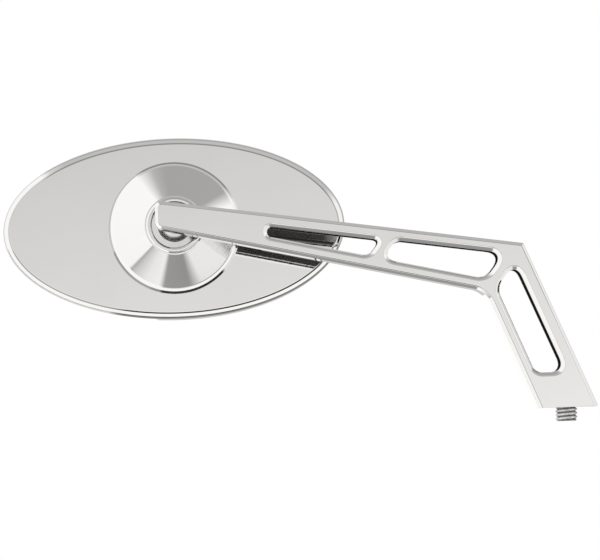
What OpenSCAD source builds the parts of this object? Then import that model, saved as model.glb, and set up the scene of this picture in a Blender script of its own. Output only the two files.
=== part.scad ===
// Motorcycle mirror: an oval housing on a ball joint, carried by a slotted, bent flat arm
// that screws into the handlebar perch by a short threaded stud.
// +Z runs up along the stud. The origin is on the stud's axis, at the seat face of the foot.
// +Y runs from the arm into the housing, to the glass. The housing lies on the -X side.

/* [Arm] */
// Distance across from the stud's axis to the ball's axis
arm_reach = 141; // [120:1:170]
// Height of the ball's axis above the foot's seat
arm_rise = 72; // [66:1:84]
// Thickness of the plate that the arm is cut from
arm_t = 10; // [9:0.5:12]
// Length of the tip past the ball's axis
tip_over = 7; // [5.5:0.5:10]
// Height of the tip's upper corner above the ball's axis
tip_above = 7.8; // [6:0.2:10]
// Depth of the tip's lower corner below the ball's axis
tip_below = 2.2; // [1.8:0.2:5]
// Distance from the stud's axis to the outer corner of the elbow
elbow_x = 14; // [10:0.5:18]
// Height of the outer corner of the elbow
elbow_z = 60.4; // [56:0.2:64]
// Distance from the stud's axis to the inner corner of the elbow
crotch_x = 28.3; // [26:0.1:31]
// Height of the inner corner of the elbow
crotch_z = 43.2; // [40:0.2:46]
// Fillet radius in the inner corner of the elbow
elbow_fillet = 8.5; // [4:0.5:12]
// Foot's reach to the left of the stud's axis
foot_left = 10.5; // [9:0.1:12]
// Foot's reach to the right of the stud's axis
foot_right = 11.3; // [9.5:0.1:13]
// Chamfer round the front face of the arm
arm_chamfer = 1.6; // [0.6:0.1:2]
// Chamfer round the back face of the arm
arm_back_chamfer = 0.6; // [0.3:0.1:1]
// Chamfer along the seat edge of the foot
seat_chamfer = 0.4; // [0.2:0.1:0.8]

/* [Slots] */
// Chamfer round the mouth of each slot
slot_chamfer = 1.2; // [0.5:0.1:1.4]
// Corner radius of the first slot's mouth
small_corner = 2.9; // [2.4:0.05:2.95]
// Corner radius of the second and third slots' mouths
large_corner = 4.2; // [3:0.1:4.6]
// Metal left above the first slot
web_above_first = 3.6; // [3:0.1:4]
// Metal left below the first slot
web_below_first = 3.4; // [3:0.1:4]
// Metal left above the second slot
web_above_second = 3.1; // [2.6:0.1:3.8]
// Metal left below the second slot
web_below_second = 3.3; // [2.6:0.1:3.8]
// Metal left at the inner side of the leg
web_leg_inner = 2.9; // [2.4:0.1:3.6]
// Metal left at the outer side of the leg
web_leg_outer = 4.4; // [3.6:0.1:5]
// Distance of the first slot's blind end from the ball's axis
first_slot_start = 32.2; // [28:0.2:38]
// Distance of the first rib's middle from the stud's axis
rib_one_x = 66; // [60:0.5:72]
// Distance of the second rib's middle from the stud's axis
rib_two_x = 22.7; // [21:0.1:24]
// Drop of the second rib's middle below the middle of the beam
rib_two_drop = 1.2; // [0:0.1:2]
// Lean of both ribs from level
rib_angle = 52; // [46:1:58]
// Width of the first rib between the mouths
rib_one_w = 2.1; // [1.6:0.1:3.5]
// Width of the second rib between the mouths
rib_two_w = 2.7; // [1.8:0.1:3.5]
// Height of the third slot's lower edge above the seat
third_slot_floor = 11.7; // [11:0.1:15]

/* [Mounting stud] */
// Outer diameter of the stud's thread
stud_d = 7.94; // [6:0.01:8.4]
// Height of the thread's crests above its mean diameter
thread_rise = 0.46; // [0.3:0.02:0.7]
// Length of the stud below the seat
stud_out = 5; // [4:0.5:30]
// Length of the stud inside the foot
stud_in = 9; // [6:0.5:9.5]
// Chamfer at the stud's free end
stud_tip_chamfer = 0.6; // [0.2:0.1:1]
// Depth of the counterbore that clears the thread at the foot's seat
stud_relief = 0.8; // [0.4:0.1:2]

/* [Ball joint] */
// Diameter of the ball
ball_d = 14; // [13:0.1:14.2]
// Depth of the ball's centre behind the middle of the arm
ball_depth = 18.6; // [18:0.2:22]
// Diameter of the neck between ball and arm
neck_d = 6; // [4:0.1:6]
// Diameter of the threaded shank inside the arm
shank_d = 5.8; // [3.6:0.1:5.8]
// Length of the shank inside the arm
shank_in = 6.5; // [4:0.5:7.5]
// Running clearance on each side of the liners
ball_play = 0.05; // [0.02:0.01:0.1]
// Radial distance from the ball to the seat that the liners run in
liner_space = 1; // [0.8:0.05:1.1]

/* [Socket] */
// Diameter of the socket boss where it meets the housing
boss_d = 50; // [48:0.5:60]
// Diameter of the cone at its foot
cone_d = 45; // [42:0.5:46]
// Height of the cone's foot above the housing
cone_foot = 3; // [2.4:0.1:3.4]
// Width of the steep bevel at the boss's edge
boss_edge_w = 0.8; // [0.4:0.1:1.2]
// Height of the steep bevel at the boss's edge
boss_rim = 1.8; // [1.2:0.1:2]
// Height of the socket's nose above the housing
nose_height = 13.3; // [12.8:0.1:13.6]
// Metal of the collar's screwed barrel, round the ball's seat
barrel_wall = 1.6; // [1.3:0.1:1.7]
// Width by which the collar's flange stands over its barrel
flange_over = 0.9; // [0.6:0.1:1.9]
// Thickness of the collar's flange
flange_t = 1.7; // [1.4:0.1:2]
// Width of the flat ring on the collar's face
collar_ring_w = 2; // [1.5:0.1:2.5]
// Clearance of screwed and slid fits inside the socket, on the radius
slip = 0.05; // [0.03:0.01:0.1]
// Thickness of the seal's cord
seal_cord = 0.8; // [0.6:0.05:0.85]
// Thickness of one disc spring's metal
spring_t = 0.6; // [0.4:0.05:0.7]
// Cone height of one disc spring
spring_dish = 0.4; // [0.3:0.05:0.5]

/* [Housing] */
// Length of the oval housing
head_w = 128.4; // [118:0.2:140]
// Height of the oval housing
head_h = 68.2; // [64:0.2:80]
// Depth of the housing from its back to the glass side
head_depth = 15; // [14.5:0.5:20]
// Distance from the middle of the arm to the housing's back
head_back = 27; // [26.6:0.1:28]
// Thickness of the housing's back
back_t = 3; // [2.8:0.1:3.4]
// Thickness of the housing's side wall
side_t = 4; // [3.2:0.1:5]
// Width of the bevel next to the flat back
inner_bevel_w = 1.4; // [0.8:0.1:1.8]
// Depth of the bevel next to the flat back
inner_bevel_depth = 1; // [0.6:0.1:1.4]
// Width of the steep outer bevel
outer_bevel_w = 1.1; // [0.6:0.1:1.4]
// Depth of the steep outer bevel
outer_bevel_depth = 3; // [1.5:0.1:4]
// Width of the lip round the glass pocket
lip_t = 2; // [1.6:0.1:2.4]

/* [Glass] */
// Thickness of the mirror glass
glass_t = 2; // [1.8:0.1:2.4]
// Thickness of the foam pad behind the glass
pad_t = 1; // [0.6:0.1:1.2]
// Thickness of the backing plate
plate_t = 1.5; // [1.2:0.1:2]
// Width of the rubber gasket between glass and lip
gasket_w = 1.2; // [1:0.1:1.6]
// Width by which the gasket laps over the glass
gasket_lap = 1; // [0.6:0.1:2]
// Clearance round the glass, the pad and the plate
glass_play = 0.15; // [0.1:0.05:0.25]

/* [Screws] */
// Diameter of the circle of clamp screws
clamp_pcd = 33; // [32:0.5:34]
// Number of clamp screws
clamp_count = 4; // [3:1:6]
// Diameter of the clamp screws
clamp_screw_d = 4; // [3:0.1:4]
// Diameter of the clamp plate
clamp_plate_d = 45; // [43.5:0.5:50]
// Thickness of the clamp plate
clamp_plate_t = 2; // [1.6:0.1:2.2]
// Depth of the tapped holes in the boss
tapped_depth = 5; // [4:0.2:5.4]
// Distance of the backing screws from the middle, along the oval
backing_screw_x = 46; // [42:0.5:48]
// Diameter of the backing screws
backing_screw_d = 3; // [2.5:0.1:3.2]

/* [Hidden] */
$fn = 96;

// Steps round one corner of an outline, and round the whole oval
corner_steps = 8;
oval_steps = 96;
// Small overlap that lets a cut pass cleanly through a face
cut = 0.5;
// Radius that is left at a corner that looks sharp
crisp = 0.5;

arm_front = -arm_t / 2;
arm_back = arm_t / 2;

// Outline of the arm, with X to the right and Y up along the stud
tip_top = [-arm_reach - tip_over, arm_rise + tip_above];
tip_bottom = [-arm_reach - tip_over, arm_rise - tip_below];
elbow = [-elbow_x, elbow_z];
crotch = [-crotch_x, crotch_z];
toe = [foot_right, 0];
heel = [-foot_left, 0];
tip_corner = 2;
ARM_CORNERS = [tip_bottom, crotch, heel, toe, elbow, tip_top];
ARM_RADII = [tip_corner, -elbow_fillet, crisp, crisp, crisp, tip_corner];

// Inside the foot the thread is drawn at its mean diameter. A counterbore at the seat lets the
// full thread pass, so the foot lies flat on the perch.
stud_core_r = stud_d / 2 - thread_rise;
stud_bore_r = stud_core_r + slip;
stud_mouth_r = stud_d / 2 + slip;

// Depths of the ball joint, from the middle of the arm towards the glass
ball_r = ball_d / 2;
seat_r = ball_r + liner_space;
liner_in_r = ball_r + ball_play;
liner_out_r = seat_r - ball_play;
nose_face = head_back - nose_height;
collar_face = nose_face - flange_t;
mouth_lap = 0.8;
mouth_r = ball_r - mouth_lap;
mouth_depth = ball_depth - sqrt(seat_r * seat_r - mouth_r * mouth_r);
collar_end = ball_depth;
barrel_d = 2 * (seat_r + barrel_wall);
collar_d = barrel_d + 2 * flange_over;
front_liner_edge = 3.1;
front_liner_end = 1.3;
rear_liner_start = 1;
rear_liner_edge = 6.2;
cup_start = ball_depth + 1.6;
cup_end = ball_depth + seat_r + 0.8;
cup_hole_r = 4.2;
boss_bore_r = barrel_d / 2 + slip;
inner_face = head_back + back_t;
spring_in_r = 4.6;
spring_out_r = boss_bore_r - 0.4;
spring_gap = 0.04;
spring_h = spring_t + spring_dish;
washer_start = cup_end + 2 * spring_h + 2 * spring_gap;
spigot_wall = 2.75;
spigot_r = boss_bore_r + spigot_wall;
spigot_play = 0.1;
spigot_short = 0.2;

// Depths of the glass side
head_front = head_back + head_depth;
glass_set_back = 1;
glass_front = head_front - glass_set_back;
glass_back = glass_front - glass_t;
plate_front = glass_back - pad_t;
ledge = plate_front - plate_t;
pad_margin = 3;
seal_groove_play = 0.1;
gasket_rise = 0.7 * glass_set_back;

// Small fittings: edge breaks, clearance holes and the heads of the screws
edge_break = 0.3;
collar_chamfer = 0.6;
collar_rim = 0.5;
clamp_hole_play = 0.25;
lock_washer_t = 0.8;
lock_washer_play = 0.2;
clamp_head_r = clamp_screw_d * 0.9;
clamp_head_h = 2;
clamp_hex_r = clamp_screw_d * 0.36;
clamp_hex_depth = 1.2;
clamp_tip_gap = 0.6;
backing_boss_r = 4;
backing_hole_play = 0.15;
backing_thread = 4.5;
backing_hole_depth = 5;
backing_sink = backing_screw_d * 0.4;
backing_head_drop = 0.1;
backing_hex_r = backing_screw_d * 0.3;
backing_hex_depth = 0.9;

// The crossing point of the line through a, along u, and the line through b, along v
function cross_at(a, u, b, v) =
    let (k = ((b.x - a.x) * v.y - (b.y - a.y) * v.x) / (u.x * v.y - u.y * v.x))
    a + k * u;

function unit(v) = v / norm(v);

function left_of(v) = [-v.y, v.x];

// A closed outline moved to its left: side i runs from corner i to the next and moves by d[i]
function moved(corners, d) =
    let (n = len(corners))
    [for (i = [0:n - 1])
        let (
            before = corners[(i + n - 1) % n],
            here = corners[i],
            after = corners[(i + 1) % n],
            u = unit(here - before),
            v = unit(after - here)
        )
        cross_at(here + left_of(u) * d[(i + n - 1) % n], u, here + left_of(v) * d[i], v)];

// One rounded corner, as points on its arc
function corner_arc(before, here, after, r) =
    let (
        u = unit(before - here),
        v = unit(after - here),
        half = acos(u * v) / 2,
        centre = here + unit(u + v) * r / sin(half),
        start = here + u * r / tan(half) - centre,
        end = here + v * r / tan(half) - centre,
        a = atan2(start.y, start.x),
        turn = atan2(end.y, end.x) - a,
        sweep = turn > 180 ? turn - 360 : turn < -180 ? turn + 360 : turn
    )
    [for (k = [0:corner_steps])
        centre + r * [cos(a + sweep * k / corner_steps), sin(a + sweep * k / corner_steps)]];

function rounded(corners, radii) =
    let (n = len(corners))
    [for (i = [0:n - 1])
        each corner_arc(corners[(i + n - 1) % n], corners[i], corners[(i + 1) % n], radii[i])];

// Corner radii after an outline is drawn in by d: hollow corners, below zero, grow
function drawn_in(radii, d) = [for (r = radii) r < 0 ? d - r : max(r - d, crisp / 2)];

// An oval of the two half axes, drawn outwards by d at every point
function oval(a, b, d = 0) =
    [for (i = [0:oval_steps - 1])
        let (
            t = 360 * i / oval_steps,
            side = unit([b * cos(t), a * sin(t)])
        )
        [a * cos(t), b * sin(t)] + d * side];

// A solid through outlines of equally many points, each at its own height. A hollow
// outline gives its end faces in pieces that are not hollow, as lists of point numbers.
module loft(outlines, heights, pieces = undef) {
    n = len(outlines[0]);
    top = len(outlines) - 1;
    ends = is_undef(pieces) ? [[for (i = [0:n - 1]) i]] : pieces;
    points = [for (k = [0:top]) for (p = outlines[k]) [p.x, p.y, heights[k]]];
    faces = concat(
        ends,
        [for (piece = ends) [for (i = [len(piece) - 1:-1:0]) top * n + piece[i]]],
        [for (k = [0:top - 1]) for (i = [0:n - 1])
            let (j = (i + 1) % n)
            [k * n + i, (k + 1) * n + i, (k + 1) * n + j, k * n + j]]
    );
    polyhedron(points, faces);
}

// Things drawn with their outline in X and Y stand up, with their height towards the arm's front
module stand_up() {
    rotate([90, 0, 0])
        children();
}

// Things drawn round +Z, with their heights as depths, are put on the ball's axis
module on_ball_axis() {
    translate([-arm_reach, 0, arm_rise])
        rotate([-90, 0, 0])
            children();
}

// Keeps every size, and takes the children as one finished mesh before true bores are cut
module as_one_mesh() {
    resize([0, 0, 0])
        children();
}

module ring(outer_r, inner_r, from, to) {
    rotate_extrude()
        translate([inner_r, from])
            square([outer_r - inner_r, to - from]);
}

// The middles of the screw holes: on a circle for the clamp, on the long axis for the backing
module at_clamp_screws() {
    for (i = [0:clamp_count - 1])
        rotate([0, 0, 45 + 360 * i / clamp_count])
            translate([clamp_pcd / 2, 0, 0])
                children();
}

module at_backing_screws() {
    for (side = [-1, 1])
        translate([side * backing_screw_x, 0, 0])
            children();
}

// A chamfered slot through the arm, given by the four corners of its mouth
module slot(mouth, corner_r) {
    wall = moved(mouth, [for (p = mouth) slot_chamfer]);
    wall_points = rounded(wall, [for (p = mouth) corner_r - slot_chamfer]);
    mouth_points = rounded(mouth, [for (p = mouth) corner_r]);
    past = moved(mouth, [for (p = mouth) -cut]);
    past_points = rounded(past, [for (p = mouth) corner_r + cut]);
    loft(
        [past_points, mouth_points, wall_points, wall_points, mouth_points, past_points],
        [arm_front - cut, arm_front, arm_front + slot_chamfer,
            arm_back - slot_chamfer, arm_back, arm_back + cut]
    );
}

// The straight sides of the arm, each as a point and a direction
top_u = unit(tip_top - elbow);
bottom_u = unit(crotch - tip_bottom);
inner_u = unit(heel - crotch);
outer_u = unit(elbow - toe);
rib_u = [cos(rib_angle), sin(rib_angle)];

// A rib's middle lies half way between the upper and lower sides of the beam
function beam_middle(x) =
    let (
        above = cross_at(elbow, top_u, [x, 0], [0, 1]),
        below = cross_at(crotch, bottom_u, [x, 0], [0, 1])
    )
    (above + below) / 2;
rib_one = beam_middle(-rib_one_x);
rib_two = beam_middle(-rib_two_x) - [0, rib_two_drop];

// Corners of a slot's mouth between two beam sides and two ends, turning left
function beam_slot(above, below, end_a, end_a_u, end_b, end_b_u) =
    let (
        upper = elbow + left_of(top_u) * above,
        lower = crotch + left_of(bottom_u) * below
    )
    [
        cross_at(lower, bottom_u, end_a, end_a_u),
        cross_at(lower, bottom_u, end_b, end_b_u),
        cross_at(upper, top_u, end_b, end_b_u),
        cross_at(upper, top_u, end_a, end_a_u)
    ];
rib_side = left_of(rib_u);
FIRST_SLOT = beam_slot(
    web_above_first, web_below_first,
    [-arm_reach + first_slot_start, 0], [0, 1],
    rib_one + rib_side * rib_one_w / 2, rib_u
);
SECOND_SLOT = beam_slot(
    web_above_second, web_below_second,
    rib_one - rib_side * rib_one_w / 2, rib_u,
    rib_two + rib_side * rib_two_w / 2, rib_u
);
leg_inner = crotch + left_of(inner_u) * web_leg_inner;
leg_outer = toe + left_of(outer_u) * web_leg_outer;
third_slot_top = rib_two - rib_side * rib_two_w / 2;
third_slot_corner = cross_at(leg_inner, inner_u, third_slot_top, rib_u);
THIRD_SLOT = [
    third_slot_corner,
    cross_at(leg_inner, inner_u, [0, third_slot_floor], [1, 0]),
    cross_at(leg_outer, outer_u, [0, third_slot_floor], [1, 0]),
    cross_at(leg_outer, outer_u, third_slot_top, rib_u)
];

module arm_blank() {
    side_count = len(ARM_CORNERS);
    seat_side = 2;
    front_sides = [for (i = [0:side_count - 1]) i == seat_side ? seat_chamfer : arm_chamfer];
    back_sides = [for (i = [0:side_count - 1])
        i == seat_side ? min(seat_chamfer, arm_back_chamfer) : arm_back_chamfer];
    full = rounded(ARM_CORNERS, [for (r = ARM_RADII) abs(r)]);
    front = rounded(moved(ARM_CORNERS, front_sides), drawn_in(ARM_RADII, arm_chamfer));
    back = rounded(moved(ARM_CORNERS, back_sides), drawn_in(ARM_RADII, arm_back_chamfer));
    // The end faces part into the beam, the leg and a strip from the crotch to the elbow
    m = corner_steps + 1;
    beam = concat([for (i = [0:m]) i], [for (i = [5 * m - 1:6 * m - 1]) i]);
    leg = [for (i = [2 * m - 1:4 * m]) i];
    strip = [for (k = [0:corner_steps - 1])
        [m + k, m + k + 1, 5 * m - 2 - k, 5 * m - 1 - k]];
    loft(
        [back, full, full, front],
        [-arm_back, -arm_back + arm_back_chamfer, -arm_front - arm_chamfer, -arm_front],
        concat([beam], [leg], strip)
    );
}

module arm() {
    color("gainsboro")
        difference() {
            stand_up()
                as_one_mesh()
                    difference() {
                        arm_blank();
                        slot(FIRST_SLOT, small_corner);
                        slot(SECOND_SLOT, large_corner);
                        slot(THIRD_SLOT, large_corner);
                    }
            translate([0, 0, -cut])
                cylinder(r = stud_bore_r, h = stud_in + 2 * cut);
            translate([0, 0, -cut])
                cylinder(r = stud_mouth_r, h = stud_relief + cut);
            on_ball_axis()
                translate([0, 0, arm_back - shank_in - cut])
                    cylinder(r = shank_d / 2 + slip, h = shank_in + 2 * cut);
        }
}

module mount_stud() {
    color("silver")
        union() {
            translate([0, 0, -cut])
                cylinder(r = stud_core_r, h = stud_in + cut);
            translate([0, 0, -stud_out + stud_tip_chamfer])
                cylinder(r = stud_d / 2, h = stud_out - stud_tip_chamfer);
            translate([0, 0, -stud_out])
                cylinder(r1 = stud_d / 2 - stud_tip_chamfer, r2 = stud_d / 2, h = stud_tip_chamfer);
        }
}

module ball_stud() {
    color("silver")
        on_ball_axis() {
            translate([0, 0, ball_depth])
                sphere(r = ball_r);
            translate([0, 0, arm_back])
                cylinder(r = neck_d / 2, h = ball_depth - arm_back - ball_r / 2);
            translate([0, 0, arm_back - shank_in])
                cylinder(r = shank_d / 2, h = shank_in + cut);
        }
}

// A band of the spherical shell between ball and seat, from one distance to another
module liner(from, to) {
    color("ivory")
        on_ball_axis()
            translate([0, 0, ball_depth])
                intersection() {
                    difference() {
                        sphere(r = liner_out_r);
                        sphere(r = liner_in_r);
                    }
                    translate([0, 0, from])
                        cylinder(r = seat_r + cut, h = to - from);
                }
}

module front_liner() {
    liner(-front_liner_edge, -front_liner_end);
}

module rear_liner() {
    liner(rear_liner_start, rear_liner_edge);
}

module socket_collar() {
    step_r = collar_d / 2 - collar_ring_w;
    groove_w = seal_cord + 2 * seal_groove_play;
    color("gainsboro")
        on_ball_axis()
            difference() {
                rotate_extrude()
                    polygon([
                        [0, collar_face],
                        [collar_d / 2 - collar_chamfer, collar_face],
                        [collar_d / 2, collar_face + collar_chamfer],
                        [collar_d / 2, nose_face],
                        [barrel_d / 2, nose_face],
                        [barrel_d / 2, collar_end],
                        [0, collar_end]
                    ]);
                rotate_extrude()
                    polygon([
                        [0, collar_face - cut],
                        [step_r, collar_face - cut],
                        [step_r, collar_face + edge_break],
                        [mouth_r, mouth_depth],
                        [0, mouth_depth + cut]
                    ]);
                translate([0, 0, ball_depth])
                    sphere(r = seat_r);
                rotate_extrude()
                    translate([barrel_d / 2 - seal_cord - seal_groove_play, nose_face + edge_break])
                        square([seal_cord + cut, groove_w]);
            }
}

module socket_seal() {
    color("black")
        on_ball_axis()
            translate([0, 0, nose_face + edge_break + seal_groove_play + seal_cord / 2])
                rotate_extrude()
                    translate([barrel_d / 2 - seal_cord / 2 - slip / 2, 0])
                        circle(r = seal_cord / 2);
}

module socket_boss() {
    edge = head_back - boss_rim;
    edge_r = boss_d / 2 - boss_edge_w;
    foot = head_back - cone_foot;
    nose_r = collar_d / 2 + collar_rim;
    color("gainsboro")
        on_ball_axis()
            difference() {
                rotate_extrude()
                    polygon([
                        [boss_bore_r, nose_face],
                        [nose_r, nose_face],
                        [nose_r + edge_break, nose_face + edge_break],
                        [cone_d / 2, foot],
                        [edge_r, edge],
                        [boss_d / 2, head_back - edge_break],
                        [boss_d / 2, head_back],
                        [spigot_r, head_back],
                        [spigot_r, inner_face - spigot_short],
                        [boss_bore_r, inner_face - spigot_short]
                    ]);
                at_clamp_screws()
                    translate([0, 0, head_back - tapped_depth])
                        cylinder(r = clamp_screw_d / 2 + slip, h = tapped_depth + cut, $fn = 32);
            }
}

module pressure_cup() {
    color("silver")
        on_ball_axis()
            difference() {
                translate([0, 0, cup_start])
                    cylinder(r = barrel_d / 2, h = cup_end - cup_start);
                translate([0, 0, ball_depth])
                    sphere(r = seat_r);
                translate([0, 0, cup_start - cut])
                    cylinder(r = cup_hole_r, h = cup_end - cup_start + 2 * cut);
            }
}

// One dished spring washer, its wide edge at the start or at the end
module disc_spring(start, wide_first) {
    inner_from = wide_first ? start + spring_dish : start;
    outer_from = wide_first ? start : start + spring_dish;
    color("dimgray")
        on_ball_axis()
            rotate_extrude()
                polygon([
                    [spring_in_r, inner_from],
                    [spring_out_r, outer_from],
                    [spring_out_r, outer_from + spring_t],
                    [spring_in_r, inner_from + spring_t]
                ]);
}

module front_disc_spring() {
    disc_spring(cup_end, false);
}

module rear_disc_spring() {
    disc_spring(cup_end + spring_h + spring_gap, true);
}

module thrust_washer() {
    color("silver")
        on_ball_axis()
            ring(spring_out_r, spring_in_r, washer_start, inner_face);
}

module housing() {
    a = head_w / 2;
    b = head_h / 2;
    bevel_w = inner_bevel_w + outer_bevel_w;
    face = oval(a, b, -bevel_w);
    shoulder = oval(a, b, -outer_bevel_w);
    rim = oval(a, b);
    color("gainsboro")
        on_ball_axis()
            difference() {
                loft(
                    [face, shoulder, rim, rim],
                    [head_back, head_back + inner_bevel_depth,
                        head_back + inner_bevel_depth + outer_bevel_depth, head_front]
                );
                difference() {
                    translate([0, 0, inner_face])
                        linear_extrude(head_depth)
                            polygon(oval(a, b, -side_t));
                    at_backing_screws()
                        translate([0, 0, head_back])
                            cylinder(r = backing_boss_r, h = ledge - head_back);
                }
                translate([0, 0, ledge])
                    linear_extrude(head_depth)
                        polygon(oval(a, b, -lip_t));
                translate([0, 0, head_back - cut])
                    cylinder(r = spigot_r + spigot_play, h = back_t + 2 * cut);
                at_clamp_screws()
                    translate([0, 0, head_back - cut])
                        cylinder(r = clamp_screw_d / 2 + clamp_hole_play, h = back_t + 2 * cut, $fn = 32);
                at_backing_screws()
                    translate([0, 0, ledge - backing_hole_depth])
                        cylinder(r = backing_screw_d / 2 + slip, h = backing_hole_depth + cut, $fn = 32);
            }
}

module clamp_plate() {
    color("silver")
        on_ball_axis()
            difference() {
                translate([0, 0, inner_face])
                    cylinder(r = clamp_plate_d / 2, h = clamp_plate_t);
                at_clamp_screws()
                    translate([0, 0, inner_face - cut])
                        cylinder(
                            r = clamp_screw_d / 2 + clamp_hole_play,
                            h = clamp_plate_t + 2 * cut, $fn = 32
                        );
            }
}

module lock_washers() {
    color("dimgray")
        on_ball_axis()
            at_clamp_screws()
                ring(
                    clamp_head_r, clamp_screw_d / 2 + lock_washer_play,
                    inner_face + clamp_plate_t, inner_face + clamp_plate_t + lock_washer_t
                );
}

module clamp_screws() {
    seat = inner_face + clamp_plate_t + lock_washer_t;
    tip = head_back - tapped_depth + clamp_tip_gap;
    color("silver")
        on_ball_axis()
            at_clamp_screws()
                difference() {
                    union() {
                        translate([0, 0, tip])
                            cylinder(r = clamp_screw_d / 2, h = seat - tip + cut, $fn = 32);
                        translate([0, 0, seat])
                            cylinder(r = clamp_head_r, h = clamp_head_h, $fn = 32);
                    }
                    translate([0, 0, seat + clamp_head_h - clamp_hex_depth])
                        cylinder(r = clamp_hex_r, h = clamp_hex_depth + cut, $fn = 6);
                }
}

module backing_plate() {
    hole_r = backing_screw_d / 2 + backing_hole_play;
    cone_h = backing_sink + backing_head_drop;
    color("silver")
        on_ball_axis()
            difference() {
                translate([0, 0, ledge])
                    linear_extrude(plate_t)
                        polygon(oval(head_w / 2, head_h / 2, -lip_t - glass_play));
                at_backing_screws()
                    translate([0, 0, ledge - cut])
                        cylinder(r = hole_r, h = plate_t + 2 * cut, $fn = 32);
                at_backing_screws()
                    translate([0, 0, plate_front - cone_h])
                        cylinder(r1 = hole_r, r2 = hole_r + cone_h, h = cone_h, $fn = 32);
            }
}

module backing_screws() {
    tip = ledge - backing_thread;
    top = plate_front - backing_head_drop;
    color("silver")
        on_ball_axis()
            at_backing_screws()
                difference() {
                    rotate_extrude($fn = 32)
                        polygon([
                            [0, tip],
                            [backing_screw_d / 2, tip],
                            [backing_screw_d / 2, top - backing_sink],
                            [backing_screw_d / 2 + backing_sink, top],
                            [0, top]
                        ]);
                    translate([0, 0, top - backing_hex_depth])
                        cylinder(r = backing_hex_r, h = backing_hex_depth + cut, $fn = 6);
                }
}

module glass_pad() {
    color("black")
        on_ball_axis()
            translate([0, 0, plate_front])
                linear_extrude(pad_t)
                    polygon(oval(head_w / 2, head_h / 2, -lip_t - gasket_w - pad_margin));
}

module mirror_glass() {
    color("lightsteelblue")
        on_ball_axis()
            translate([0, 0, glass_back])
                linear_extrude(glass_t)
                    polygon(oval(head_w / 2, head_h / 2, -lip_t - gasket_w - glass_play));
}

module rim_gasket() {
    a = head_w / 2;
    b = head_h / 2;
    color("black")
        on_ball_axis()
            difference() {
                translate([0, 0, plate_front])
                    linear_extrude(pad_t + glass_t + gasket_rise)
                        polygon(oval(a, b, -lip_t));
                translate([0, 0, plate_front - cut])
                    linear_extrude(pad_t + glass_t + cut)
                        polygon(oval(a, b, -lip_t - gasket_w));
                translate([0, 0, glass_front - cut])
                    linear_extrude(gasket_rise + 2 * cut)
                        polygon(oval(a, b, -lip_t - gasket_w - gasket_lap));
            }
}

arm();
mount_stud();
ball_stud();
front_liner();
rear_liner();
socket_collar();
socket_seal();
socket_boss();
pressure_cup();
front_disc_spring();
rear_disc_spring();
thrust_washer();
housing();
clamp_plate();
lock_washers();
clamp_screws();
backing_plate();
backing_screws();
glass_pad();
mirror_glass();
rim_gasket();
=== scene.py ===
import math

import bpy
from mathutils import Matrix, Vector


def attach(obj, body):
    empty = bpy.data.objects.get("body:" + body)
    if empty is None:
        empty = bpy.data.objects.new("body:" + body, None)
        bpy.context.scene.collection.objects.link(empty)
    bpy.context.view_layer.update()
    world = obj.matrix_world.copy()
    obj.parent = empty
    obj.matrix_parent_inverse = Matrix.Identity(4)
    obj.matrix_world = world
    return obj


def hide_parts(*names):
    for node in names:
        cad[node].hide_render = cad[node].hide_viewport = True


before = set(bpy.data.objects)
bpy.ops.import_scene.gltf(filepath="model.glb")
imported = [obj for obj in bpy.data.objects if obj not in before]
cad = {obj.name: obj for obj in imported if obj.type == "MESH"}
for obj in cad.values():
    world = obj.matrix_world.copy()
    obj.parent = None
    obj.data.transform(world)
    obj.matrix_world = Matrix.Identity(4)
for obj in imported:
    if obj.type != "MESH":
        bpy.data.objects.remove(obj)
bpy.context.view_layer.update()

bpy.ops.object.select_all(action="DESELECT")


# Camera
# A long lens, a little to the left of the foot and level with it, looking slightly up and to
# the right. The picture is turned a little, so the mirror leans with its left end down.
lens_length = 144.284
lens_place = (-0.143716, -0.875, 0.000782)
yaw = math.radians(3.1254)
pitch = math.radians(3.1826)
roll = math.radians(1.9)
ahead = Vector((math.sin(yaw) * math.cos(pitch), math.cos(yaw) * math.cos(pitch), math.sin(pitch)))
level_right = Vector((math.cos(yaw), -math.sin(yaw), 0))
level_up = level_right.cross(ahead)
right = math.cos(roll) * level_right - math.sin(roll) * level_up
up = math.sin(roll) * level_right + math.cos(roll) * level_up
bpy.ops.object.camera_add(location=lens_place)
camera = bpy.context.object
camera.name = "camera"
camera.rotation_euler = Matrix((right, up, -ahead)).transposed().to_euler()
camera.data.sensor_width = 36
camera.data.lens = lens_length
camera.data.clip_start = 0.01
bpy.context.scene.camera = camera


# Studio
# A white cove with a pale floor. Polished metal shows its surroundings, so the world is drawn
# as a light tent: pale in front, white cards left and right, a grey roof, a dark table edge.
scene = bpy.context.scene
scene.view_settings.view_transform = "Standard"
world = bpy.data.worlds.new("light_tent")
world.use_nodes = True
scene.world = world
tent = world.node_tree.nodes
wire = world.node_tree.links
tent.clear()


def tent_math(operation, a, b=None, c=None, clamp=False):
    step = tent.new("ShaderNodeMath")
    step.operation = operation
    step.use_clamp = clamp
    for slot, value in zip(step.inputs, (a, b, c)):
        if value is None:
            continue
        if isinstance(value, (int, float)):
            slot.default_value = value
        else:
            wire.new(value, slot)
    return step.outputs[0]


def tent_ramp(place, stops):
    ramp = tent.new("ShaderNodeValToRGB")
    bands = ramp.color_ramp.elements
    while len(bands) < len(stops):
        bands.new(0.5)
    for band, (at, shade) in zip(bands, stops):
        band.position = at
        band.color = (shade, shade * 0.995, shade * 0.985, 1)
    wire.new(place, ramp.inputs[0])
    return ramp.outputs[0]


def tent_mix(share, a, b):
    mix = tent.new("ShaderNodeMix")
    mix.data_type = "RGBA"
    wire.new(share, mix.inputs[0])
    wire.new(a, mix.inputs[6])
    wire.new(b, mix.inputs[7])
    return mix.outputs[2]


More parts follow.
